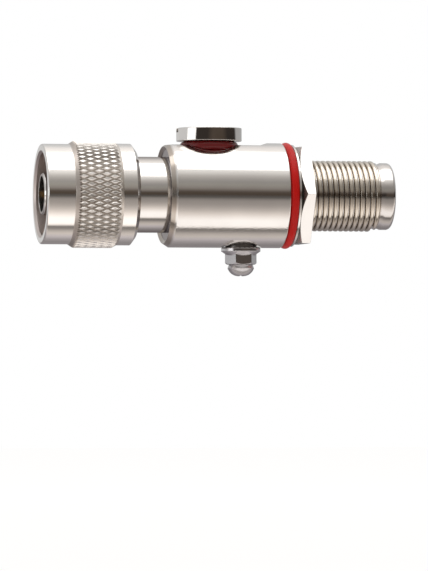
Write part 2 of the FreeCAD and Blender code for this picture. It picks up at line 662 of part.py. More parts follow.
def make_gas_tube_electrode(upper):
    """Metal end disc with a rounded rim; the lower one stands on the conductor's flat."""
    bottom = GAS_TUBE_TOP_Z - ELECTRODE_THICKNESS if upper else CONTACT_FLAT_HEIGHT
    top = bottom + ELECTRODE_THICKNESS
    electrode = disc_z(GAS_TUBE_RADIUS, bottom, top, CAP_CENTRE)
    outer_face = top if upper else bottom
    edges = circular_edges(electrode, GAS_TUBE_RADIUS, outer_face, Z_AXIS)
    return electrode.makeFillet(ELECTRODE_EDGE_ROUND, edges)


def make_contact_spring():
    """Dished spring washer between the gas tube's top and the roof of the cap's recess."""
    bottom = GAS_TUBE_TOP_Z + SEAT_CLEARANCE
    top = CAP_RECESS_TOP_Z - SEAT_CLEARANCE
    outer = CAP_RECESS_RADIUS - SPRING_INSET
    return turned_about_z([
        (outer, bottom),
        (outer, bottom + SPRING_SHEET),
        (SPRING_HOLE_RADIUS, top),
        (SPRING_HOLE_RADIUS, top - SPRING_SHEET)], CAP_CENTRE)


def make_ground_lock_washer():
    """Split spring washer between the flange nut and the spotface, its gap to the back."""
    bottom = GROUND_NUT_TOP_Z + SEAT_CLEARANCE
    top = bottom + LOCK_WASHER_THICKNESS
    washer = disc_z(LOCK_WASHER_RADIUS, bottom, top, GROUND_CENTRE)
    washer = washer.cut(disc_z(GROUND_SCREW_RADIUS + THREAD_CLEARANCE, bottom - OVERRUN,
                               top + OVERRUN, GROUND_CENTRE))
    gap = block(LOCK_WASHER_GAP, LOCK_WASHER_RADIUS, 2 * LOCK_WASHER_THICKNESS + OVERRUN,
                GROUND_CENTRE + FreeCAD.Vector(0, LOCK_WASHER_RADIUS, (bottom + top) / 2))
    return washer.cut(gap)


def make_ground_nut():
    """Flange nut turned flange up, with radial serrations on the flange's face."""
    top = GROUND_NUT_TOP_Z
    bottom = GROUND_NUT_BOTTOM_Z
    flat_radius = GROUND_NUT_FLATS / 2
    corner_radius = flat_radius * CORNER_OVER_FLAT
    hexagon_base = GROUND_CENTRE + FreeCAD.Vector(0, 0, bottom)
    hexagon = hexagon_face(GROUND_NUT_FLATS, hexagon_base, X_AXIS, Y_AXIS)
    hexagon = hexagon.extrude(Z_AXIS * GROUND_NUT_HEIGHT)
    crown = turned_about_z([
        (0, bottom),
        (flat_radius, bottom),
        (corner_radius, bottom + GROUND_NUT_CHAMFER),
        (corner_radius, top),
        (0, top)], GROUND_CENTRE)
    flange = turned_about_z([
        (0, top - GROUND_FLANGE_HEIGHT),
        (flat_radius, top - GROUND_FLANGE_HEIGHT),
        (GROUND_FLANGE_RADIUS, top - GROUND_FLANGE_RIM),
        (GROUND_FLANGE_RADIUS, top),
        (0, top)], GROUND_CENTRE)
    rim_edges = circular_edges(flange, GROUND_FLANGE_RADIUS, top, Z_AXIS)
    flange = flange.makeFillet(GROUND_FLANGE_ROUND, rim_edges)
    nut = hexagon.common(crown).fuse(flange)
    for index in range(SERRATION_COUNT):
        reach = GROUND_FLANGE_RADIUS - SERRATION_LENGTH / 2
        groove = block(SERRATION_LENGTH, SERRATION_WIDTH, 2 * SERRATION_DEPTH,
                       GROUND_CENTRE + FreeCAD.Vector(reach, 0, top))
        groove.rotate(GROUND_CENTRE, Z_AXIS, FULL_TURN * index / SERRATION_COUNT)
        nut = nut.cut(groove)
    bore = GROUND_SCREW_RADIUS + THREAD_CLEARANCE
    return nut.cut(disc_z(bore, bottom - OVERRUN, top + OVERRUN, GROUND_CENTRE))


def make_ground_screw():
    """Pan head screw with a cross recess, head down under the flange nut."""
    head_top = GROUND_NUT_BOTTOM_Z - SEAT_CLEARANCE
    side_z = head_top - SCREW_HEAD_SIDE
    crown_height = SCREW_HEAD_HEIGHT - SCREW_HEAD_SIDE
    slant = math.radians(QUARTER_TURN / 2)
    profile = [
        (0, side_z - crown_height),
        (0, GROUND_SHANK_TOP_Z),
        (GROUND_SCREW_RADIUS - SMALL_CHAMFER, GROUND_SHANK_TOP_Z),
        (GROUND_SCREW_RADIUS, GROUND_SHANK_TOP_Z - SMALL_CHAMFER),
        (GROUND_SCREW_RADIUS, head_top),
        (SCREW_HEAD_RADIUS - SCREW_HEAD_TAPER, head_top),
        (SCREW_HEAD_RADIUS, side_z)]
    corners = [GROUND_CENTRE + FreeCAD.Vector(radius, 0, z) for radius, z in profile]
    bulge = GROUND_CENTRE + FreeCAD.Vector(
        SCREW_HEAD_RADIUS * math.cos(slant), 0, side_z - crown_height * math.sin(slant))
    edges = [Part.makeLine(start, end) for start, end in zip(corners, corners[1:])]
    edges.append(Part.Arc(corners[-1], bulge, corners[0]).toShape())
    screw = Part.Face(Part.Wire(edges)).revolve(GROUND_CENTRE, Z_AXIS, FULL_TURN)
    for size_x, size_y in ((CROSS_SPAN, CROSS_ARM_WIDTH), (CROSS_ARM_WIDTH, CROSS_SPAN)):
        screw = screw.cut(block(size_x, size_y, 2 * CROSS_DEPTH, corners[0]))
    return screw


def main():
    pieces = {
        "body_barrel": make_body_barrel(),
        "plug_adapter": make_plug_adapter(),
        "coupling_nut": make_coupling_nut(),
        "snap_ring": make_snap_ring(),
        "plug_gasket": make_plug_gasket(),
        "plug_insulator": make_bead(LINE_BORE_RADIUS, PLUG_BEAD_X, PLUG_BEAD_END_X),
        "plug_pin": make_plug_pin(),
        "centre_conductor": make_centre_conductor(),
        "line_bead": make_bead(LINE_BORE_RADIUS, LINE_BEAD_X, LINE_BEAD_END_X),
        "jack_insulator": make_bead(JACK_BORE_RADIUS, JACK_BEAD_X, JACK_FLOOR_X),
        "jack_socket": make_jack_socket(),
        "bulkhead_seal": make_bulkhead_seal(),
        "bulkhead_washer": make_bulkhead_washer(),
        "bulkhead_nut": make_bulkhead_nut(),
        "gas_tube_cap": make_gas_tube_cap(),
        "cap_oring": make_cap_oring(),
        "gas_tube_ceramic": make_gas_tube_ceramic(),
        "gas_tube_lower_electrode": make_gas_tube_electrode(False),
        "gas_tube_upper_electrode": make_gas_tube_electrode(True),
        "contact_spring": make_contact_spring(),
        "ground_lock_washer": make_ground_lock_washer(),
        "ground_nut": make_ground_nut(),
        "ground_screw": make_ground_screw(),
    }
    os.makedirs("parts", exist_ok=True)
    for name, shape in pieces.items():
        solid = shape.Solids[0]
        solid.exportStep(os.path.join("parts", name + ".step"))
        print(name, solid.isValid(), len(shape.Solids), round(shape.Volume, 2))


main()
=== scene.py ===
# %% [markdown]
# # A coax lightning arrestor, dressed for a studio photograph
#
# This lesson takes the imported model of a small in-line connector and gives it its finishes. The model
# already holds every turned, milled and screwed piece at its real size. What is left for Blender is what
# a machinist would call the surface: rolled threads, satin nickel plate, gold contacts, red silicone.

# %% The frame
import math

import bpy
from mathutils import Matrix, Vector


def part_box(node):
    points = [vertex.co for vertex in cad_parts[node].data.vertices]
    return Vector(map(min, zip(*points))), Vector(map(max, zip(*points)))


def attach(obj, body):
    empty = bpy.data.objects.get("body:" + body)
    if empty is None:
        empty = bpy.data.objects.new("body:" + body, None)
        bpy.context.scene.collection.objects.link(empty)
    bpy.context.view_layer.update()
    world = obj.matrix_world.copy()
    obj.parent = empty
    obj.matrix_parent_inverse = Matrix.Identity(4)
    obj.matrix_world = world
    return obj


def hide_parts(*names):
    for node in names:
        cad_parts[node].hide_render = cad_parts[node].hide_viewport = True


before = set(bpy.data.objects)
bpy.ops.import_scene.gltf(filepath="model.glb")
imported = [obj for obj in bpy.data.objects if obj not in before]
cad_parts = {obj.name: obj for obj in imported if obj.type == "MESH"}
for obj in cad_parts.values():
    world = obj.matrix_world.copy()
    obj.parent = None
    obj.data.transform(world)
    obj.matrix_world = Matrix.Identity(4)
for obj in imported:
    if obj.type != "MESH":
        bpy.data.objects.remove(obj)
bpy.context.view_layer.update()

MM = 0.001


# %% [markdown]
# ## The camera
#
# A photograph of a small part is taken from about a metre with a long lens, so parallel edges stay nearly
# parallel. The part is seen a little from the plug's side, and from slightly below its axis. The object
# sits high in the frame, which a vertical shift of the lens does without tilting the camera.

# %% Camera
CAMERA_AZIMUTH = math.radians(-11.3)
CAMERA_ELEVATION = math.radians(-2.2)
CAMERA_DISTANCE = 0.95
CAMERA_TARGET = Vector((-13.48 * MM, 0, 0))
CAMERA_LENS = 304.0
CAMERA_SENSOR = 36.0
CAMERA_SHIFT_UP = -0.158
CAMERA_CLIP_NEAR = 0.01
CAMERA_CLIP_FAR = 20.0


def direction(azimuth, elevation):
    """Unit vector from the object towards a viewer at this azimuth and elevation."""
    flat = math.cos(elevation)
    return Vector((math.sin(azimuth) * flat, -math.cos(azimuth) * flat, math.sin(elevation)))


camera_data = bpy.data.cameras.new("camera")
camera_data.lens = CAMERA_LENS
camera_data.sensor_width = CAMERA_SENSOR
camera_data.shift_y = CAMERA_SHIFT_UP
camera_data.clip_start = CAMERA_CLIP_NEAR
camera_data.clip_end = CAMERA_CLIP_FAR
camera = bpy.data.objects.new("camera", camera_data)
bpy.context.scene.collection.objects.link(camera)
towards_camera = direction(CAMERA_AZIMUTH, CAMERA_ELEVATION)
camera.location = CAMERA_TARGET + towards_camera * CAMERA_DISTANCE
camera.rotation_euler = towards_camera.to_track_quat("Z", "Y").to_euler()
bpy.context.scene.camera = camera
bpy.context.scene.view_settings.view_transform = "Standard"
print("Camera at", [round(value, 4) for value in camera.location])

# %% [markdown]
# ## Writing shader maths as plain expressions
#
# A material is a graph of nodes, and long graphs are hard to read. A tiny class wraps a node's output, and
# its operators add Math nodes, so that a formula in Python becomes the same formula in the shader.

# %% Values that add up
class Value:
    """A shader output that can be added, multiplied and divided like a number."""

    def __init__(self, graph, socket):
        self.graph = graph
        self.socket = socket

    def maths(self, operation, *others):
        values = dict(enumerate([self, *others]))
        return self.graph.node("ShaderNodeMath", {"operation": operation}, values)

    def __add__(self, other):
        return self.maths("ADD", other)

    def __sub__(self, other):
        return self.maths("SUBTRACT", other)

    def __mul__(self, other):
        return self.maths("MULTIPLY", other)

    def __truediv__(self, other):
        return self.maths("DIVIDE", other)

    def __radd__(self, other):
        return self.maths("ADD", other)

    def __rmul__(self, other):
        return self.maths("MULTIPLY", other)

    def __rsub__(self, other):
        return self.graph.node("ShaderNodeMath", {"operation": "SUBTRACT"}, {0: other, 1: self})

    def root(self):
        return self.maths("SQRT")

    def clamp(self, low, high):
        return self.maths("MAXIMUM", low).maths("MINIMUM", high)


# %% [markdown]
# ## One method for every other node
#
# Every other node comes from one method that takes its type, its settings and its inputs. The nodes could be
# placed by hand in the shader editor, but a script says what each one is fed with.

# %% Graphs of nodes
class Graph:
    """The node tree of a material or of the world, with a short way to add nodes."""

    def __init__(self, tree):
        self.tree = tree
        self.tree.nodes.clear()

    def node(self, kind, settings=None, inputs=None, output=0):
        added = self.tree.nodes.new(kind)
        for name, value in (settings or {}).items():
            if name == "stops":
                self.set_stops(added.color_ramp, value)
            else:
                setattr(added, name, value)
        for name, value in (inputs or {}).items():
            self.feed(added.inputs[name], value)
        return Value(self, added.outputs[output]) if added.outputs else None

    def set_stops(self, ramp, stops):
        while len(ramp.elements) < len(stops):
            ramp.elements.new(1.0)
        for element, (position, colour) in zip(ramp.elements, stops):
            element.position = position
            element.color = colour

    def feed(self, socket, value):
        if isinstance(value, Value):
            self.tree.links.new(value.socket, socket)
        else:
            socket.default_value = value


def new_material(name):
    material = bpy.data.materials.new(name)
    material.use_nodes = True
    return material, Graph(material.node_tree)


def finish_material(graph, surface):
    graph.node("ShaderNodeOutputMaterial", None, {"Surface": surface})


def grey(level):
    return (level, level, level, 1.0)


# %% [markdown]
# ## The stage
#
# A polished cylinder shows its surroundings as bands, so the way to the right bands is to make the table
# under it glow in stripes along the part, rather than to paint the bands on the metal. In front of the part
# lies a bright sheet of card, then a dark stripe of painted shade under the part, then the grey table behind.

# %% The striped sheet
SHEET_SPREAD = 0.1
SHEET_WARMTH = (1.0, 0.91, 0.85)
SHEET_COOL = (1.0, 0.925, 0.955)
SHEET_COOL_FROM = 0.02
CARD_WHITE_FROM = 1.0
CARD_WHITE_SPAN = 0.4
CARD_WHITENING = 0.6
# Distance towards the back in metres, and how bright the table is there in the metal's reflections.
# The dark steps from -0.019 to -0.002 are painted shade: the part's shadow under it, seen in its underside.
SHEET_LIGHT = [
    (-2.00, 0.070), (-0.66, 0.080), (-0.40, 0.28), (-0.30, 0.34), (-0.20, 0.38),
    (-0.147, 0.49), (-0.112, 0.66), (-0.087, 0.92), (-0.068, 1.18), (-0.053, 1.36),
    (-0.030, 1.36), (-0.024, 1.10), (-0.019, 0.16), (-0.009, 0.27), (-0.002, 0.48),
    (0.012, 0.70), (0.028, 0.61), (0.051, 0.37), (0.090, 0.26),
]


def place_on_sheet(y):
    """Where a distance towards the back falls on the ramp: finely spaced near the part, coarsely far off."""
    return (y / (abs(y) + SHEET_SPREAD) + 1) / 2


def sheet_colour(y, light):
    """Warm in front of the part, nearly white where the card is bright, and cooler behind the part."""
    white_share = max(0.0, min(1.0, (light - CARD_WHITE_FROM) / CARD_WHITE_SPAN))
    tones = SHEET_COOL if y > SHEET_COOL_FROM else SHEET_WARMTH
    return tuple(light * (tone + (1 - tone) * white_share * CARD_WHITENING) for tone in tones) + (1.0,)


print("Sheet lit in", len(SHEET_LIGHT), "steps towards the back")

# %% [markdown]
# ## The floor
#
# The photograph shows the part cut out on pure white. A pale floor lies under it, far enough down that the
# part's shadow falls outside the picture. To the camera the floor is mostly white light, with enough of the
# lit floor left in it to keep a shadow in other views. To the metal it is the striped sheet.

# %% Floor
FLOOR_Z = -78 * MM
FLOOR_SIZE = 4.0
FLOOR_COLOUR = (0.80, 0.79, 0.77, 1.0)
WHITE_TO_CAMERA = 0.72
WHITE_NEAR = 1.04
WHITE_FAR = 1.13
NEAR_REACH = 0.15
FAR_REACH = 0.80
SHEET_IN_METAL = 0.96
bpy.ops.object.select_all(action="DESELECT")
bpy.ops.mesh.primitive_plane_add(size=FLOOR_SIZE, location=(0, 0, FLOOR_Z))
floor = bpy.context.object
floor.name = "floor"

floor_material, graph = new_material("pale floor")
path = graph.node("ShaderNodeLightPath")
is_camera = Value(graph, path.socket.node.outputs["Is Camera Ray"])
is_glossy = Value(graph, path.socket.node.outputs["Is Glossy Ray"])
place = graph.node("ShaderNodeTexCoord", None, None, "Object")
split = graph.node("ShaderNodeSeparateXYZ", None, {0: place})
across = Value(graph, split.socket.node.outputs["Y"])
sidelong = Value(graph, split.socket.node.outputs["X"])
along_sheet = (across / (across.maths("ABSOLUTE") + SHEET_SPREAD) + 1) / 2
sheet_light = graph.node("ShaderNodeValToRGB", {"stops": [
    (place_on_sheet(y), sheet_colour(y, light)) for y, light in SHEET_LIGHT]}, {"Fac": along_sheet}, "Color")
lit = graph.node("ShaderNodeBsdfDiffuse", None, {"Color": FLOOR_COLOUR}, "BSDF")
# The lamps light the far floor less, so the white that the camera sees there is raised a little.
reach = (sidelong * sidelong + across * across).root()
far_off = ((reach - NEAR_REACH) / (FAR_REACH - NEAR_REACH)).clamp(0.0, 1.0)
white_tone = graph.node("ShaderNodeMix", {"data_type": "RGBA"}, {
    0: far_off, 6: grey(WHITE_NEAR), 7: grey(WHITE_FAR)}, 2)
white = graph.node("ShaderNodeEmission", None, {"Color": white_tone, "Strength": 1.0}, "Emission")
card = graph.node("ShaderNodeEmission", None, {"Color": sheet_light, "Strength": 1.0}, "Emission")
in_metal = graph.node("ShaderNodeMixShader", None, {0: is_glossy * SHEET_IN_METAL, 1: lit, 2: card})
shown = graph.node("ShaderNodeMixShader", None, {0: is_camera * WHITE_TO_CAMERA, 1: in_metal, 2: white})
finish_material(graph, shown)
floor.data.materials.append(floor_material)
print("Floor at", round(FLOOR_Z, 3), "m")

# %% [markdown]
# ## The room
#
# Metal has no colour of its own to speak of: it shows the room. A photograph of the studio could be wrapped
# round the scene, but a few ramps are enough and can be tuned one by one. The front wall gets brighter with
# height, because the soft box hangs above. The back wall is for views from behind.

# %% The walls
# Height, as the sine of the angle above the horizon, and the wall's colour there.
FRONT_GLOW = [
    (0.0, (0.076, 0.058, 0.044, 1.0)),
    (0.10, (0.095, 0.074, 0.060, 1.0)),
    (0.22, (0.29, 0.26, 0.24, 1.0)),
    (0.35, (0.355, 0.34, 0.31, 1.0)),
    (0.46, (0.345, 0.33, 0.315, 1.0)),
    (0.56, (0.45, 0.43, 0.41, 1.0)),
    (0.655, (0.60, 0.575, 0.55, 1.0)),
    (0.743, (0.87, 0.85, 0.825, 1.0)),
    (0.84, (1.0, 0.98, 0.96, 1.0)),
]
BACK_GLOW = [
    (0.0, grey(0.42)),
    (0.60, grey(0.72)),
    (0.82, (1.06, 1.02, 1.00, 1.0)),
    (0.96, (1.22, 1.20, 1.18, 1.0)),
]
print("Room with", len(FRONT_GLOW), "steps of light in front and", len(BACK_GLOW), "behind")

# %% [markdown]
# ## The walls put together
#
# At eye level a strip of the front wall is nearly black, apart from a patch at one side, and that strip is
# the dark band along every cylinder. Where a ray meets the room follows from its direction alone: how high
# it points, how far to the side and how far to the back. Each mask is one of these, cut off at 0 and 1.

# %% World
DARK_SIDE_AZIMUTH = math.radians(17.2)
PATCH_AZIMUTH = math.radians(20)
PATCH_FROM = 0.78
PATCH_FADE = 0.18
STRIP_HEIGHT = 0.25
STRIP_COLOUR = (0.028, 0.024, 0.022, 1.0)
SIDE_LIGHT_SLOPE = 1.2
SIDE_LIGHT_RIGHT = grey(0.46)
SIDE_LIGHT_LEFT = grey(0.78)
LOW_BACK_HEIGHT = 0.35
BEHIND_FROM = 0.12
BEHIND_FADE = 0.16
world = bpy.data.worlds.new("studio")
bpy.context.scene.world = world
world.use_nodes = True
graph = Graph(world.node_tree)
path = graph.node("ShaderNodeLightPath")
is_camera = Value(graph, path.socket.node.outputs["Is Camera Ray"])
towards = graph.node("ShaderNodeTexCoord", None, None, "Generated")
split = graph.node("ShaderNodeSeparateXYZ", None, {0: towards}, "Z")
height = split.clamp(0.0, 1.0)
sideways = Value(graph, split.socket.node.outputs["X"])
depth = Value(graph, split.socket.node.outputs["Y"])
front_glow = graph.node("ShaderNodeValToRGB", {"stops": FRONT_GLOW}, {"Fac": height}, "Color")
to_the_left = (0.5 - sideways * SIDE_LIGHT_SLOPE).clamp(0.0, 1.0)
side_light = graph.node("ShaderNodeMix", {"data_type": "RGBA"}, {
    0: to_the_left, 6: SIDE_LIGHT_RIGHT, 7: SIDE_LIGHT_LEFT}, 2)
back_glow = graph.node("ShaderNodeValToRGB", {"stops": BACK_GLOW}, {"Fac": height}, "Color")
frontness = sideways * math.sin(DARK_SIDE_AZIMUTH) - depth * math.cos(DARK_SIDE_AZIMUTH)
facing_patch = sideways * math.sin(PATCH_AZIMUTH) - depth * math.cos(PATCH_AZIMUTH)
in_patch = ((facing_patch - PATCH_FROM) / PATCH_FADE).clamp(0.0, 1.0)
above_strip = (height / STRIP_HEIGHT).clamp(0.0, 1.0)
front_wall = graph.node("ShaderNodeMix", {"data_type": "RGBA"}, {
    0: in_patch.maths("MAXIMUM", above_strip), 6: STRIP_COLOUR, 7: front_glow}, 2)
low_back = (1 - height / LOW_BACK_HEIGHT).clamp(0.0, 1.0)
back_wall = graph.node("ShaderNodeMix", {"data_type": "RGBA"}, {0: low_back, 6: back_glow, 7: side_light}, 2)
behind = 1 - ((frontness - BEHIND_FROM) / BEHIND_FADE).clamp(0.0, 1.0)
room = graph.node("ShaderNodeMix", {"data_type": "RGBA"}, {0: behind, 6: front_wall, 7: back_wall}, 2)
seen = graph.node("ShaderNodeMix", {"data_type": "RGBA"}, {0: is_camera, 6: room, 7: grey(1.0)}, 2)
background = graph.node("ShaderNodeBackground", None, {"Color": seen, "Strength": 1.0}, "Background")
graph.node("ShaderNodeOutputWorld", None, {"Surface": background})
print("Nodes in the room:", len(world.node_tree.nodes))


# %% [markdown]
# ## The lamps
#
# Two soft boxes give the plain light of a product photograph. The large one above lights the upper side of
# every cylinder white, and its edge is where that white ends. The low one at the left lights the faces that
# look towards the plug's side.

# %% Lamps
def add_lamp(name, size, position, aim, power):
    """A soft box of this width and height, turned from its position towards its aim."""
    data = bpy.data.lights.new(name, "AREA")
    data.shape = "RECTANGLE"
    data.size, data.size_y = size
    data.energy = power
    lamp = bpy.data.objects.new(name, data)
    bpy.context.scene.collection.objects.link(lamp)
    lamp.location = position
    lamp.rotation_euler = (Vector(position) - Vector(aim)).to_track_quat("Z", "Y").to_euler()
    lamp.visible_camera = False
    return lamp


TOP_LAMP_SIZE = (1.3, 0.755)
TOP_LAMP_PLACE = (0.0, -0.1275, 0.75)
TOP_LAMP_AIM = (0, -0.1275, 0)
TOP_LAMP_POWER = 3.67
LEFT_LAMP_SIZE = (0.55, 0.2)
LEFT_LAMP_POWER = 0.375
LEFT_LAMP_AZIMUTH = math.radians(-75)
LEFT_LAMP_ELEVATION = math.radians(2.7)
LEFT_LAMP_DISTANCE = 0.9
left_lamp_place = direction(LEFT_LAMP_AZIMUTH, LEFT_LAMP_ELEVATION) * LEFT_LAMP_DISTANCE
add_lamp("top soft box", TOP_LAMP_SIZE, TOP_LAMP_PLACE, TOP_LAMP_AIM, TOP_LAMP_POWER)
add_lamp("left soft box", LEFT_LAMP_SIZE, left_lamp_place, (0, 0, 0), LEFT_LAMP_POWER)
print("Lamps:", [light.name for light in bpy.data.lights])

# %% [markdown]
# ## Satin nickel plate
#
# The bodies of such connectors are turned from brass bar and plated with nickel. The lathe leaves very fine
# rings, finer than the eye resolves, which stretch each highlight round the part. The rings follow the
# distance along the part's own axis on its sides, and the distance from that axis on its faces. The sum of
# the two gives rings on both, and a one-dimensional noise of it is the tool mark.
#
# Plate isn't the same all over. It is duller on the knurl, and darker and pinker inside the plug. Painted shade
# darkens the bottom of grooves and the chamfers. These places are found from the distance along and from the
# axis, so that one function makes every turned metal of the part.

# %% Nickel
# Painted shade for a nut's chamfer.
PAINTED_SHADE_ON_CONE = (0.20, 0.18, 0.16, 1.0)
INNER_TONE = (0.60, 0.535, 0.505, 1.0)
NO_DIMMING = (1.0, 1.0, 1.0, 1.0)
BAND_FADE = 0.2 * MM
CONE_FADE = 0.05 * MM
CONE_DULL = 0.35
CONE_SHADE_UNTIL = 5.5 * MM
CONE_SHADE_FADE = 3.0 * MM
INNER_DULL = 0.24
PEEL_DROP = 6.7 * MM
PEEL_REACH = 1.3 * MM
PEEL_STRENGTH = 0.35
EDGE_ROUND = 0.11 * MM
RING_WIDTH = 0.05 * MM
TOOL_MARK = 0.03
MARK_DEPTH = 0.02 * MM
GRAIN_SHARE = 0.5
CLOUD_SHINE = 0.08
TOOL_SHINE = 0.05
# How many times each noise repeats in a metre.
CLOUD_SCALE = 160.0
GRAIN_SCALE = 9000.0
PEEL_SCALE = 2600.0


def metal(name, colours, roughness, axis="X", centre=(0, 0, 0), mark=TOOL_MARK, edge=EDGE_ROUND,
          bands=(), dull=0.0, inner=None, peel=0.0, cone=None, grazing=NO_DIMMING):
    """A turned metal: fine rings about the axis, soft changes of shine, slightly broken edges.

    Each band is given by its first and last place along the axis, its bottom and top radius and its
    tint, which is strongest at the bottom; in the grooves of threads and knurls and on chamfers and faces
    this tint is painted shade. The first band is duller, by as much as dull says. Nearer to the axis
    than the inner radius the plate is darker and pinker.
    Peel is the unevenness of the plate along the body's underside. A cone is a nut's chamfer, duller
    than the flats and darkened with painted shade away from its top and bottom: it starts at a place
    along the axis, at a radius, and climbs at a slope.
    The grazing tint dims what the metal mirrors at a flat angle.
    """
    material, graph = new_material(name)
    place = graph.node("ShaderNodeTexCoord", None, None, "Object")
    local = graph.node("ShaderNodeVectorMath", {"operation": "SUBTRACT"}, {0: place, 1: centre})
    split = graph.node("ShaderNodeSeparateXYZ", None, {0: local})
    parts = {letter: Value(graph, split.socket.node.outputs[letter]) for letter in "XYZ"}
    up = parts["Z"]
    along = parts.pop(axis)
    first, second = parts.values()
    radius = (first * first + second * second).root()
    tool = graph.node("ShaderNodeTexNoise", {"noise_dimensions": "1D"},
                      {"W": (along + radius) / RING_WIDTH, "Scale": 1.0, "Detail": 3.0, "Roughness": 0.7})
    cloud = graph.node("ShaderNodeTexNoise", None, {"Vector": place, "Scale": CLOUD_SCALE, "Detail": 4.0})
    grain = graph.node("ShaderNodeTexNoise", None, {"Vector": place, "Scale": GRAIN_SCALE, "Detail": 2.0})
    tint = graph.node("ShaderNodeMix", {"data_type": "RGBA"}, {0: cloud, 6: colours[0], 7: colours[1]}, 2)
    shine = cloud * CLOUD_SHINE + tool * TOOL_SHINE + (roughness - (CLOUD_SHINE + TOOL_SHINE) / 2)
    # Most bands paint shade: darker towards the bottom of grooves, on chamfers and on the disc face.
    for number, (start, end, bottom, top, band_tint) in enumerate(bands):
        depth_in = 1 - ((radius - bottom) / (top - bottom)).clamp(0.0, 1.0)
        inside = ((along - start) / BAND_FADE).clamp(0.0, 1.0) * ((end - along) / BAND_FADE).clamp(0.0, 1.0)
        tint = graph.node("ShaderNodeMix", {"data_type": "RGBA"},
                          {0: depth_in * inside, 6: tint, 7: band_tint}, 2)
        if dull and number == 0:
            shine = shine + inside * dull
    # Inside the inner radius the plate is darker, pinker and duller.
    if inner:
        hidden = ((inner - radius) / BAND_FADE).clamp(0.0, 1.0)
        tint = graph.node("ShaderNodeMix", {"data_type": "RGBA"}, {0: hidden, 6: tint, 7: INNER_TONE}, 2)
        shine = shine + hidden * INNER_DULL
    # A nut's chamfer is duller, and painted darker as shade except near its top and bottom.
    if cone:
        cone_start, cone_radius, cone_slope = cone
        above = radius - cone_radius - (along - cone_start) / cone_slope
        on_cone = (above / CONE_FADE + 2).clamp(0.0, 1.0)
        shine = shine + on_cone * CONE_DULL
        beyond_shade = ((up.maths("ABSOLUTE") - CONE_SHADE_UNTIL) / CONE_SHADE_FADE).clamp(0.0, 1.0)
        on_cone = on_cone * (1 - beyond_shade)
        tint = graph.node("ShaderNodeMix", {"data_type": "RGBA"}, {0: on_cone, 6: tint, 7: PAINTED_SHADE_ON_CONE}, 2)
    surface_normal = graph.node("ShaderNodeBevel", {"samples": 6}, {"Radius": edge}) if edge else None
    bump_inputs = {"Strength": mark, "Distance": MARK_DEPTH, "Height": tool + grain * GRAIN_SHARE}
    if surface_normal:
        bump_inputs["Normal"] = surface_normal
    bumped = graph.node("ShaderNodeBump", None, bump_inputs)
    if peel:
        uneven = graph.node("ShaderNodeTexNoise", None, {"Vector": place, "Scale": PEEL_SCALE, "Detail": 2.0})
        on_peel = (1 - (up + PEEL_DROP).maths("ABSOLUTE") / PEEL_REACH).clamp(0.0, 1.0)
        bumped = graph.node("ShaderNodeBump", None, {
            "Strength": PEEL_STRENGTH, "Distance": MARK_DEPTH, "Height": uneven * on_peel * peel,
            "Normal": bumped})
    surface = graph.node("ShaderNodeBsdfPrincipled", None, {
        "Base Color": tint, "Metallic": 1.0, "Roughness": shine, "Normal": bumped,
        "Specular Tint": grazing})
    finish_material(graph, surface)
    return material


# %% [markdown]
# ## The tones
#
# Nickel is a warm white metal, and steel a greyer one. Each metal has a lighter and a darker tone that drift
# into each other. Grooves and chamfers get darker, browner tints of painted shade, and so does the whole
# thread.

# %% Tones of the metals
NICKEL = (0.80, 0.775, 0.745, 1.0)
NICKEL_SHADE = (0.70, 0.675, 0.65, 1.0)
# The thread's nickel is darker and browner: painted shade between its flanks.
THREAD_NICKEL_SHADED_LIGHTER = (0.70, 0.64, 0.56, 1.0)
THREAD_NICKEL_SHADED_DARKER = (0.60, 0.545, 0.47, 1.0)
STEEL = (0.68, 0.665, 0.67, 1.0)
STEEL_SHADE = (0.52, 0.51, 0.52, 1.0)
# The lock washer's steel is dark partly as spring steel and partly as painted shade of its recess.
WASHER_STEEL_IN_SHADE = (0.34, 0.32, 0.31, 1.0)
WASHER_STEEL_DARKER_IN_SHADE = (0.26, 0.25, 0.24, 1.0)
GOLD = (1.0, 0.66, 0.22, 1.0)
GOLD_SHADE = (0.92, 0.55, 0.16, 1.0)
KNURL_LIGHT = (0.90, 0.865, 0.825, 1.0)
# The knurl, chamfer, face, nut chamfer and groove tints are painted shade.
PAINTED_SHADE_IN_KNURL = (0.78, 0.72, 0.655, 1.0)
PAINTED_SHADE_ON_CHAMFER = (0.47, 0.42, 0.37, 1.0)
PAINTED_SHADE_ON_FACE = (0.56, 0.55, 0.56, 1.0)
PAINTED_SHADE_ON_NUT_CHAMFER = (0.50, 0.45, 0.41, 1.0)
TIP_TINT = (0.64, 0.615, 0.59, 1.0)
DIM = (0.56, 0.53, 0.52, 1.0)
HEX_DIM = (0.08, 0.08, 0.08, 1.0)
PAINTED_SHADE_IN_GROOVE = (0.30, 0.25, 0.20, 1.0)
print("Nickel reflects", NICKEL[:3], "and gold", GOLD[:3])

# %% [markdown]
# ## Where the plate gets painted shade and other tints
#
# The places are measured from the part's own boxes where a box has the edge that counts, and otherwise taken
# from the sizes of the part. A painted mask could mark them too, but a radius and a place along the axis
# follow a turned part exactly.

# %% Places on the part
CAP_CENTRE = (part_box("gas_tube_cap")[0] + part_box("gas_tube_cap")[1]) / 2
SCREW_CENTRE = (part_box("ground_screw")[0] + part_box("ground_screw")[1]) / 2
NUT_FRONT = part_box("coupling_nut")[0][0]
HEX_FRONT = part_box("bulkhead_nut")[0][0]
HEX_FACE_RADIUS = 9.2 * MM
HEX_CONE_SLOPE = math.tan(math.radians(30))
MOUTH_RADIUS = 8.7 * MM
KNURL_START = NUT_FRONT + 5.35 * MM
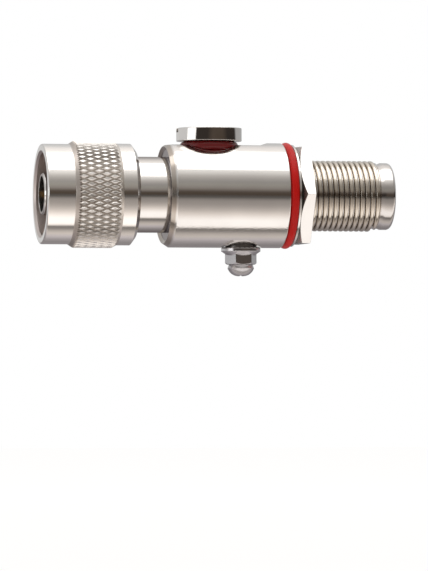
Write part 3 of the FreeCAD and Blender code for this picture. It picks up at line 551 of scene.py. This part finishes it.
# First and last place along the axis, bottom and top radius, tint.
# The tints of the bands on the chamfers, the disc face, the knurl and the thread grooves are painted shade.
BODY_CHAMFER_BAND = (-24 * MM, -22.55 * MM, 10.05 * MM, 10.25 * MM, PAINTED_SHADE_ON_CHAMFER)
JACK_TIP_BAND = (18.8 * MM, 23 * MM, 7.5 * MM, 8.0 * MM, TIP_TINT)
DISC_FACE_BAND = (-23.9 * MM, -20 * MM, 10.0 * MM, 10.1 * MM, PAINTED_SHADE_ON_FACE)
KNURL_BAND = (KNURL_START, NUT_FRONT + 15.0 * MM, 10.20 * MM, 10.45 * MM, PAINTED_SHADE_IN_KNURL)
NUT_CHAMFER_BAND = (KNURL_START, NUT_FRONT + 6.60 * MM, 10.40 * MM, 10.60 * MM, PAINTED_SHADE_ON_NUT_CHAMFER)
JACK_GROOVE_BAND = (0.3 * MM, 19.3 * MM, 6.40 * MM, 6.88 * MM, PAINTED_SHADE_IN_GROOVE)
print("Coupling nut from", round(NUT_FRONT, 4), "m, hex nut from", round(HEX_FRONT, 4), "m")

# %% [markdown]
# ## One call for each metal
#
# Every metal of the part is now one call, with its tones, its roughness and the places where it gets painted
# shade and other tints. Smooth plate has a low roughness and mirrors the room, worn steel has a high one and
# blurs it.

# %% The metals
SATIN = 0.13
BRIGHT = 0.075
ROLLED = 0.14
PLATED_STEEL = 0.20
WORN_STEEL = 0.36
SPRUNG_STEEL = 0.30
SOFT_GOLD = 0.32
CAP_MARK = 0.01
KNURL_DULL = 0.22
BODY_PEEL = 4.0
KNURL_EDGE_ROUND = 0.05 * MM
STEEL_EDGE_ROUND = 0.2 * MM
PLATE = (NICKEL, NICKEL_SHADE)
nickel = metal("satin nickel", PLATE, SATIN)
body_nickel = metal("satin nickel of the body", PLATE, SATIN, peel=BODY_PEEL,
                    bands=(BODY_CHAMFER_BAND, JACK_TIP_BAND))
adapter_nickel = metal("satin nickel of the adapter", PLATE, SATIN, grazing=DIM, bands=(DISC_FACE_BAND,))
knurled_nickel = metal("knurled nickel", (KNURL_LIGHT, NICKEL), SATIN, edge=KNURL_EDGE_ROUND,
                       dull=KNURL_DULL, inner=MOUTH_RADIUS, bands=(KNURL_BAND, NUT_CHAMFER_BAND))
# The thread's darker copy of the nickel is painted shade between its flanks.
thread_nickel_shaded = metal("threaded nickel", (THREAD_NICKEL_SHADED_LIGHTER, THREAD_NICKEL_SHADED_DARKER), ROLLED, edge=None,
                        bands=(JACK_GROOVE_BAND,))
hex_nickel = metal("satin nickel of the hex nut", PLATE, SATIN, grazing=HEX_DIM,
                   cone=(HEX_FRONT, HEX_FACE_RADIUS, HEX_CONE_SLOPE))
nickel_cap = metal("bright nickel cap", PLATE, BRIGHT, "Z", tuple(CAP_CENTRE), mark=CAP_MARK)
steel = metal("plated steel", (STEEL, STEEL_SHADE), PLATED_STEEL, "Z", tuple(SCREW_CENTRE),
              edge=STEEL_EDGE_ROUND)
screw_steel = metal("worn steel of the screw", (STEEL, STEEL_SHADE), WORN_STEEL, "Z", tuple(SCREW_CENTRE),
                    edge=STEEL_EDGE_ROUND)
# The lock washer is darkened partly as spring steel and partly as painted shade of its recess.
washer_steel_in_shade = metal("dark spring steel", (WASHER_STEEL_IN_SHADE, WASHER_STEEL_DARKER_IN_SHADE), SPRUNG_STEEL, "Z",
                   tuple(SCREW_CENTRE))
gold = metal("gold plate", (GOLD, GOLD_SHADE), SOFT_GOLD)
print("Materials so far:", len(bpy.data.materials))

# %% [markdown]
# ## Red silicone, white insulators and ceramic
#
# The seals are moulded from red silicone: a deep, slightly glossy red with a fine matt skin. The insulators
# are turned from white plastic that scatters light, and the gas tube's wall is dense white ceramic. All of
# them share one recipe: a cloudy tint, a shine that varies with it, and a fine skin in the bump.

# %% Rubber and insulators
MOULDED_CLOUD_SCALE = 220.0
SKIN_SCALE = 6000.0
MATT_SPREAD = 0.12
SCATTER_DEPTH = 0.5 * MM


def moulded(name, colours, roughness, bump, scatter=0.0, gloss=0.5):
    """A moulded or sintered material: cloudy colour, uneven shine and a fine skin."""
    material, graph = new_material(name)
    place = graph.node("ShaderNodeTexCoord", None, None, "Object")
    cloud = graph.node("ShaderNodeTexNoise", None, {
        "Vector": place, "Scale": MOULDED_CLOUD_SCALE, "Detail": 5.0})
    skin = graph.node("ShaderNodeTexNoise", None, {"Vector": place, "Scale": SKIN_SCALE, "Detail": 3.0})
    tint = graph.node("ShaderNodeMix", {"data_type": "RGBA"}, {0: cloud, 6: colours[0], 7: colours[1]}, 2)
    bumped = graph.node("ShaderNodeBump", None, {"Strength": bump, "Distance": MARK_DEPTH, "Height": skin})
    surface = graph.node("ShaderNodeBsdfPrincipled", None, {
        "Base Color": tint, "Roughness": cloud * MATT_SPREAD + (roughness - MATT_SPREAD / 2),
        "Normal": bumped, "Subsurface Weight": scatter, "Subsurface Scale": SCATTER_DEPTH,
        "Specular IOR Level": gloss})
    finish_material(graph, surface)
    return material


RED = ((0.55, 0.010, 0.008, 1.0), (0.44, 0.008, 0.006, 1.0))
# The cap's O-ring gets a darker copy of the red: painted shade under the cap.
RED_UNDER_PAINTED_SHADE = ((0.20, 0.006, 0.007, 1.0), (0.13, 0.005, 0.006, 1.0))
WHITE_PLASTIC = ((0.86, 0.86, 0.83, 1.0), (0.80, 0.80, 0.77, 1.0))
CERAMIC = ((0.84, 0.82, 0.79, 1.0), (0.78, 0.76, 0.72, 1.0))
red_silicone = moulded("red silicone", RED, 0.30, 0.2, gloss=0.15)
red_silicone_under_painted_shade = moulded("red silicone under painted shade", RED_UNDER_PAINTED_SHADE, 0.24, 0.15)
white_plastic = moulded("white insulator", WHITE_PLASTIC, 0.45, 0.1, 0.2)
ceramic = moulded("gas tube ceramic", CERAMIC, 0.30, 0.05)
print("With rubber, plastic and ceramic:", len(bpy.data.materials))

# %% [markdown]
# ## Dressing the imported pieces
#
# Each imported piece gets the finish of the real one. The material could be chosen object by object in the
# editor, but a table of names says at a glance what everything is made of.

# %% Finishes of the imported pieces
FINISHES = {
    "body_barrel": body_nickel,
    "plug_adapter": adapter_nickel,
    "coupling_nut": knurled_nickel,
    "bulkhead_nut": hex_nickel,
    "bulkhead_washer": nickel,
    "gas_tube_cap": nickel_cap,
    "snap_ring": steel,
    "contact_spring": steel,
    "gas_tube_lower_electrode": steel,
    "gas_tube_upper_electrode": steel,
    "ground_nut": steel,
    "ground_screw": screw_steel,
    "ground_lock_washer": washer_steel_in_shade,
    "plug_pin": gold,
    "centre_conductor": gold,
    "jack_socket": gold,
    "plug_insulator": white_plastic,
    "line_bead": white_plastic,
    "jack_insulator": white_plastic,
    "bulkhead_seal": red_silicone,
    "cap_oring": red_silicone_under_painted_shade,
    "plug_gasket": red_silicone,
    "gas_tube_ceramic": ceramic,
}


def dress(piece, material):
    piece.data.materials.clear()
    piece.data.materials.append(material)


for node_name, material in FINISHES.items():
    dress(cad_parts[node_name], material)
print("Finished", len(FINISHES), "packed pieces")

# %% [markdown]
# ## Screw threads
#
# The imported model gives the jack's thread as a row of ring grooves, and the threads of the cap and of the
# ground screw as plain cylinders at the height of their crests. A real thread is one groove that runs round
# in a helix. It could be cut with a Boolean, which leaves a ragged mesh. Here the skin at the height of the
# crests is drawn in to the bottom of the groove instead, and a ridge is wound round it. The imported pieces
# themselves stay as they are, so this is done on copies.

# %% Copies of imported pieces
MERGE_WITHIN = 0.0005 * MM
SHARP_EDGE = math.radians(22)
LARGE_FACES_WEIGHT = 100


def smooth(piece):
    """Smooth shading with the sharp edges kept, and normals that follow the large faces."""
    bpy.ops.object.select_all(action="DESELECT")
    bpy.context.view_layer.objects.active = piece
    piece.select_set(True)
    bpy.ops.object.shade_smooth_by_angle(angle=SHARP_EDGE)
    weighted = piece.modifiers.new("large faces first", "WEIGHTED_NORMAL")
    weighted.keep_sharp = True
    weighted.weight = LARGE_FACES_WEIGHT
    bpy.ops.object.modifier_apply(modifier=weighted.name)


def copy_of_node(name):
    """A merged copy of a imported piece, which may be reshaped where the piece itself may not."""
    bpy.ops.object.select_all(action="DESELECT")
    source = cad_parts[name]
    piece = source.copy()
    piece.data = source.data.copy()
    piece.parent = None
    piece.name = name + "_threaded"
    bpy.context.scene.collection.objects.link(piece)
    bpy.context.view_layer.objects.active = piece
    piece.select_set(True)
    if piece.data.has_custom_normals:
        bpy.ops.mesh.customdata_custom_splitnormals_clear()
    bpy.ops.object.mode_set(mode="EDIT")
    bpy.ops.mesh.select_all(action="SELECT")
    bpy.ops.mesh.remove_doubles(threshold=MERGE_WITHIN)
    bpy.ops.mesh.select_all(action="DESELECT")
    bpy.ops.object.mode_set(mode="OBJECT")
    return piece


# %% [markdown]
# ## Drawing the skin in
#
# The points to be moved are those that lie at the height of the crests, between two places along the axis.
# They could be picked by hand in edit mode, but picked by their radius they are found again after any change.

# %% Skin drawn in to the groove's bottom
SAME_PLACE = 0.01 * MM
ALONG = {"X": Vector((1, 0, 0)), "Z": Vector((0, 0, 1))}


def distance_from_line(point, centre, axis):
    offset = point - centre
    return (offset - axis * offset.dot(axis)).length


def draw_in(piece, centre, axis_name, crest, root, first, last):
    """Scales the points at the crests' height, between two places along the axis, inwards."""
    axis = ALONG[axis_name]
    moved = 0
    for vertex in piece.data.vertices:
        station = (vertex.co - centre).dot(axis)
        on_crest = abs(distance_from_line(vertex.co, centre, axis) - crest) < SAME_PLACE
        vertex.select = on_crest and first - SAME_PLACE < station < last + SAME_PLACE
        moved += vertex.select
    bpy.ops.object.mode_set(mode="EDIT")
    factor = root / crest
    scale = [1 if abs(part) > 0.5 else factor for part in axis]
    bpy.ops.transform.resize(value=scale, center_override=centre)
    bpy.ops.mesh.select_all(action="DESELECT")
    bpy.ops.object.mode_set(mode="OBJECT")
    return moved


# %% [markdown]
# ## Winding a ridge
#
# A thread's ridge is one section, carried round the axis and along it at the same time. The Screw modifier
# does just that. The section here is broad and rounded on top, as on a rolled and plated thread, and its
# foot sinks a little into the skin, so that no gap shows between them.

# %% The ridge
RIDGE_STEPS = 72
RIDGE_SHARP_EDGE = math.radians(50)
# Half of the ridge's section, from its foot to its top: place in pitches, and share of the thread's depth.
HALF_SECTION = [(0.48, 0.0), (0.39, 0.52), (0.30, 0.84), (0.18, 0.97), (0.0, 1.0)]


def wind_ridge(name, centre, axis_name, start, turns, pitch, root, crest, start_angle=0.0):
    """One thread ridge, wound about an axis from its start, with both ends closed."""
    bpy.ops.object.select_all(action="DESELECT")
    section = [(-along, share) for along, share in HALF_SECTION]
    section += [(along, share) for along, share in reversed(HALF_SECTION[:-1])]
    bpy.ops.mesh.primitive_circle_add(vertices=len(section), radius=pitch, location=(0, 0, 0))
    piece = bpy.context.object
    piece.name = name
    for vertex, (along, share) in zip(piece.data.vertices, section):
        vertex.co = (along * pitch, 0, root + (crest - root) * share)
    screw = piece.modifiers.new("winding", "SCREW")
    screw.axis = "X"
    screw.angle = math.tau * turns
    screw.screw_offset = pitch * turns
    screw.steps = screw.render_steps = int(RIDGE_STEPS * turns)
    bpy.ops.object.modifier_apply(modifier=screw.name)
    bpy.ops.object.mode_set(mode="EDIT")
    bpy.ops.mesh.select_mode(type="EDGE")
    bpy.ops.mesh.select_all(action="DESELECT")
    bpy.ops.mesh.select_non_manifold()
    bpy.ops.mesh.fill()
    bpy.ops.mesh.select_all(action="SELECT")
    bpy.ops.mesh.normals_make_consistent(inside=False)
    bpy.ops.object.mode_set(mode="OBJECT")
    turn = Matrix.Rotation(start_angle, 4, "X")
    if axis_name == "Z":
        turn = Matrix.Rotation(-math.pi / 2, 4, "Y") @ turn
    piece.data.transform(Matrix.Translation(Vector(centre) + ALONG[axis_name] * start) @ turn)
    bpy.ops.object.shade_smooth_by_angle(angle=RIDGE_SHARP_EDGE)
    return piece


def finish_piece(piece, material, body_name, slot_name, *replaced):
    """Gives a piece its finish, the body that carries it and the nodes that it stands for."""
    dress(piece, material)
    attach(piece, body_name)
    if replaced:
        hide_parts(*replaced)


# %% [markdown]
# ## The jack's thread
#
# The bulkhead thread is the most visible one: 24 turns to the inch over the whole jack, ending just before
# the plain tip. Its start angle decides on which side the last turn ends.

# %% The jack's thread
ORIGIN = Vector((0, 0, 0))
JACK_PITCH = 1.0583 * MM
JACK_CREST = 7.0 * MM
JACK_ROOT = 6.42 * MM
JACK_THREAD_END = 18.7 * MM
JACK_TURNS = 16.6
JACK_LEAD_IN = 0.3
JACK_FOOT_SINK = 0.06 * MM
JACK_START_ANGLE = math.radians(-60)
threaded_body = copy_of_node("body_barrel")
moved = draw_in(threaded_body, ORIGIN, "X", JACK_CREST, JACK_ROOT, 0, JACK_THREAD_END)
smooth(threaded_body)
finish_piece(threaded_body, body_nickel, "body", "nickel", "body_barrel")
jack_start = JACK_THREAD_END - (JACK_TURNS + JACK_LEAD_IN) * JACK_PITCH
jack_ridge = wind_ridge("jack_thread", ORIGIN, "X", jack_start, JACK_TURNS, JACK_PITCH,
                        JACK_ROOT - JACK_FOOT_SINK, JACK_CREST, JACK_START_ANGLE)
finish_piece(jack_ridge, thread_nickel_shaded, "body", "nickel")
print("Jack thread:", moved, "points drawn in,", len(jack_ridge.data.polygons), "faces on the ridge")

# %% [markdown]
# ## The cap and the ground screw
#
# These two threads come into view only when the cap and the screw are turned out. They are made the same
# way, with finer pitches, and ride with their screws. Their crests stay just inside their threaded holes.

# %% The threads of the screw cap and of the ground screw
CREST_ROOM = 0.01 * MM
CAP_AXIS = Vector((CAP_CENTRE[0], CAP_CENTRE[1], 0))
CAP_PITCH = 0.75 * MM
CAP_CREST, CAP_ROOT = 3.95 * MM, 3.55 * MM
CAP_THREAD_START, CAP_THREAD_TOP = 4.1 * MM, 8.65 * MM
CAP_TURNS = 5.5
CAP_FOOT_SINK = 0.04 * MM
threaded_cap = copy_of_node("gas_tube_cap")
draw_in(threaded_cap, CAP_AXIS, "Z", CAP_CREST, CAP_ROOT, CAP_THREAD_START, CAP_THREAD_TOP)
smooth(threaded_cap)
finish_piece(threaded_cap, nickel_cap, "gas_tube_cap", "nickel", "gas_tube_cap")
cap_ridge = wind_ridge("cap_thread", CAP_AXIS, "Z", CAP_THREAD_START, CAP_TURNS, CAP_PITCH,
                       CAP_ROOT - CAP_FOOT_SINK, CAP_CREST - CREST_ROOM)
finish_piece(cap_ridge, nickel_cap, "gas_tube_cap", "nickel")

SCREW_AXIS = Vector((SCREW_CENTRE[0], SCREW_CENTRE[1], 0))
SCREW_PITCH = 0.5 * MM
SCREW_CREST, SCREW_ROOT = 1.5 * MM, 1.2 * MM
SCREW_THREAD_START, SCREW_THREAD_TOP = -13.67 * MM, -5.28 * MM
SCREW_TURNS = 16.0
SCREW_FOOT_SINK = 0.03 * MM
threaded_screw = copy_of_node("ground_screw")
draw_in(threaded_screw, SCREW_AXIS, "Z", SCREW_CREST, SCREW_ROOT, SCREW_THREAD_START, SCREW_THREAD_TOP)
smooth(threaded_screw)
finish_piece(threaded_screw, screw_steel, "ground_screw", "steel", "ground_screw")
screw_ridge = wind_ridge("ground_screw_thread", SCREW_AXIS, "Z", SCREW_THREAD_START + SCREW_PITCH / 2,
                         SCREW_TURNS, SCREW_PITCH, SCREW_ROOT - SCREW_FOOT_SINK, SCREW_CREST - CREST_ROOM)
finish_piece(screw_ridge, screw_steel, "ground_screw", "steel")
print("Faces on the cap's and the screw's ridge:", len(cap_ridge.data.polygons), len(screw_ridge.data.polygons))

# %% [markdown]
# ## Inside the coupling nut
#
# The nut's own thread shows through its mouth. An inner thread is the same ridge turned inside out: its foot
# is the larger radius, in the nut's wall, and its crest points at the axis.

# %% The thread inside the coupling nut
NUT_PITCH = JACK_PITCH
NUT_GROOVE, NUT_CREST = 7.25 * MM, 7.05 * MM
NUT_THREAD_START = -45.0 * MM
NUT_TURNS = 5.2
nut_ridge = wind_ridge("coupling_nut_thread", ORIGIN, "X", NUT_THREAD_START, NUT_TURNS, NUT_PITCH,
                       NUT_GROOVE, NUT_CREST)
finish_piece(nut_ridge, nickel, "coupling_nut", "nickel")
print("Faces on the nut's ridge:", len(nut_ridge.data.polygons))
